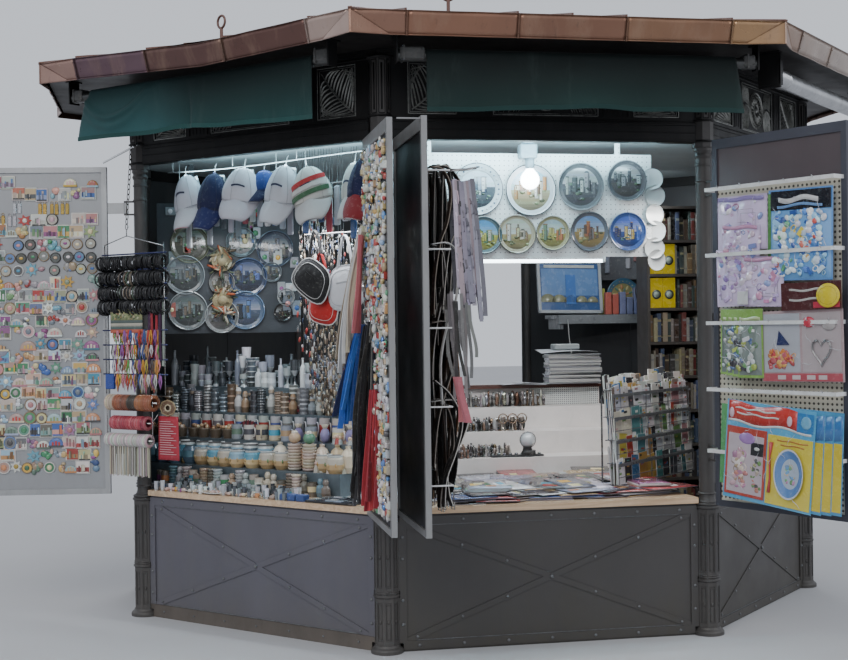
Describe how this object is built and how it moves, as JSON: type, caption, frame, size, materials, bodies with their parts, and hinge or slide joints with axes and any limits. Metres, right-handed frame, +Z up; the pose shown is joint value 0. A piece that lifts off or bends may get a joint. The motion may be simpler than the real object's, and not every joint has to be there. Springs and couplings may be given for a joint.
{
  "type": "street kiosk",
  "caption": "Eight-sided cast-iron newsstand with panelled base walls, side-hung display leaves, framed frieze, deep eave, awning cloths and a low roof.",
  "frame": {"origin": "on the ground under the middle of the eight-sided plan, on the floor deck's underside", "axes": "+Z up; -Y out of the front display opening; +X to the right of someone facing that opening"},
  "size_m": [5.3434, 4.688, 3.432],
  "materials": {
    "cast_columns": "dark grey paint, semi-matt, worn",
    "base_sheet": "dark grey paint, satin, scuffed",
    "kick_sheet": "brownish grey, dirty",
    "counter_wood": "light varnished board",
    "black_trim": "near-black satin paint",
    "grilles": "worn grey ornament on black",
    "eave_sheet": "copper-brown coated sheet, satin",
    "soffit_sheet": "dark brown sheet",
    "roller_metal": "dull silver tube",
    "awning_cloth": "dark green acrylic cloth",
    "shutter_sheet": "dark grey satin paint",
    "floor_sheet": "grey chequer plate",
    "white_board": "white laminate",
    "white_pegboard": "white perforated board",
    "grey_board": "grey board",
    "dark_shelving": "dark shelving",
    "lamp_white": "lit lamp",
    "leaf_silver": "dull aluminium profile",
    "leaf_blue_grey": "blue-grey paint",
    "magnet_board": "grey steel sheet",
    "dark_board": "near-black board",
    "purple_board": "dark purple-brown board",
    "cream_pegboard": "cream perforated hardboard",
    "rack_white": "white coated wire"
  },
  "bodies": {
    "kiosk": {"floor_deck": "floor_sheet", "column_pedestals": "cast_columns", "column_shafts": "cast_columns", "base_panels": "base_sheet", "base_rails": "base_sheet", "cross_braces": "base_sheet", "kick_plate": "kick_sheet", "counter_boards": "counter_wood", "display_deck": "white_board", "lintel_beams": "black_trim", "frieze_boards": "black_trim", "frieze_grilles": "grilles", "cornice": "black_trim", "soffit": "soffit_sheet", "eave_fascia": "eave_sheet", "roof_shell": "eave_sheet", "lifting_eyes": "eave_sheet", "awning_rollers": "roller_metal", "awning_brackets": "black_trim", "front_awning_cloth": "awning_cloth", "left_awning_cloth": "awning_cloth", "shutter_panels": "shutter_sheet", "rear_door_frame": "shutter_sheet", "rear_door_leaf": "shutter_sheet", "ceiling_panel": "white_board", "hanging_pegboard": "white_pegboard", "stepped_display": "white_board", "tiered_shelves": "white_board", "backing_board": "grey_board", "bookcase": "dark_shelving", "strip_light": "lamp_white", "bulb_lamp": "lamp_white", "hinge_brackets": "cast_columns", "stay_rod": "roller_metal"},
    "outer_left_leaf": {"outer_left_leaf_frame": "leaf_silver", "outer_left_leaf_board": "magnet_board"},
    "inner_left_leaf": {"inner_left_leaf_frame": "leaf_silver", "inner_left_leaf_board": "dark_board"},
    "inner_right_leaf": {"inner_right_leaf_frame": "leaf_silver", "inner_right_leaf_board": "dark_board", "inner_right_leaf_racks": "rack_white"},
    "outer_right_leaf": {"outer_right_leaf_frame": "leaf_blue_grey", "outer_right_leaf_head_board": "purple_board", "outer_right_leaf_pegboard": "cream_pegboard", "outer_right_leaf_racks": "rack_white"}
  },
  "joints": [
    {"name": "outer_left_leaf_hinge", "type": "hinge", "parent": "kiosk", "child": "outer_left_leaf", "pos_m": [-2.01087, -0.28732, 1.2], "axis": [0, 0, 1], "range_deg": [0, 143]},
    {"name": "inner_left_leaf_hinge", "type": "hinge", "parent": "kiosk", "child": "inner_left_leaf", "pos_m": [-0.83495, -1.46607, 1.2], "axis": [0, 0, 1], "range_deg": [-135, 0]},
    {"name": "inner_right_leaf_hinge", "type": "hinge", "parent": "kiosk", "child": "inner_right_leaf", "pos_m": [-0.69375, -1.52455, 1.2], "axis": [0, 0, 1], "range_deg": [0, 90]},
    {"name": "outer_right_leaf_hinge", "type": "hinge", "parent": "kiosk", "child": "outer_right_leaf", "pos_m": [0.91425, -1.57355, 1.2], "axis": [0, 0, 1], "range_deg": [-116, 30]}
  ]
}
